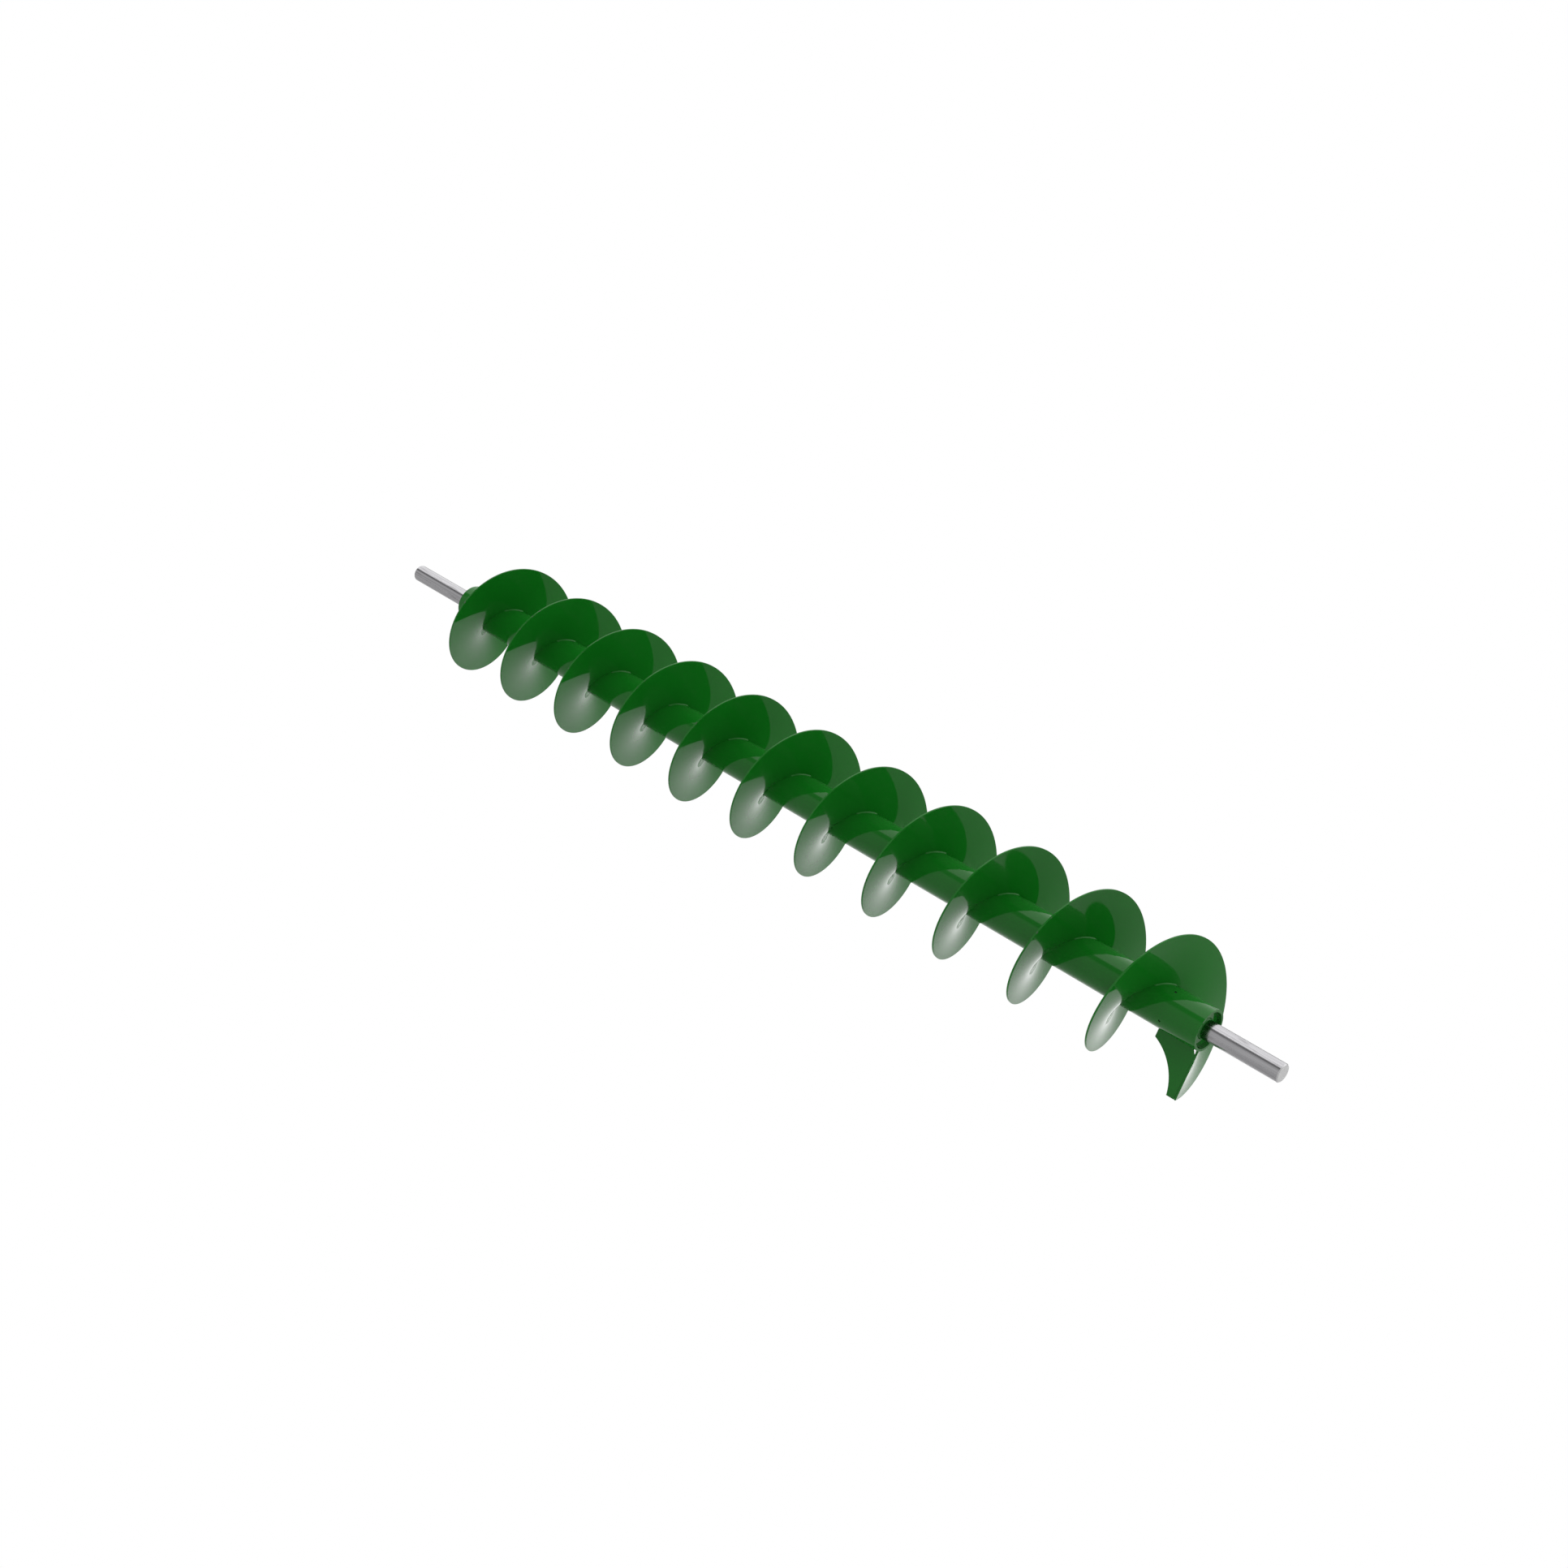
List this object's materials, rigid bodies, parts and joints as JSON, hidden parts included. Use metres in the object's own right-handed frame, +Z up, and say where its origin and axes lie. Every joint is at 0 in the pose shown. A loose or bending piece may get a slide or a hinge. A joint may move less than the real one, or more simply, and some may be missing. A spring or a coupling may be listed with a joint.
{
  "type": "screw auger",
  "caption": "Left-hand sheet-metal auger on a tube core, with a bare stub shaft in each end and a throwing paddle at the discharge end.",
  "frame": {"origin": "on the turning axis, half-way along the auger, which is the centre of its bounding box", "axes": "+X along the turning axis towards the discharge end with the paddle; the flight's first edge, at the intake end, points along +Y; +Z up as stored"},
  "size_m": [1.301, 0.15, 0.15],
  "materials": {
    "green_paint": "gloss machinery enamel over welded sheet and tube",
    "bare_steel": "bright turned and drawn bar",
    "blackened_steel": "black oxide"
  },
  "bodies": {
    "root": {"core_tube": "green_paint", "discharge_disc_pins": "blackened_steel", "discharge_inner_disc": "green_paint", "discharge_outer_disc": "green_paint", "discharge_paddle": "green_paint", "discharge_shaft": "bare_steel", "flight_end_section": "green_paint", "flight_section_01": "green_paint", "flight_section_02": "green_paint", "flight_section_03": "green_paint", "flight_section_04": "green_paint", "flight_section_05": "green_paint", "flight_section_06": "green_paint", "flight_section_07": "green_paint", "flight_section_08": "green_paint", "flight_section_09": "green_paint", "flight_section_10": "green_paint", "flight_section_11": "green_paint", "intake_disc_pins": "blackened_steel", "intake_inner_disc": "green_paint", "intake_outer_disc": "green_paint", "intake_shaft": "bare_steel"}
  },
  "joints": []
}
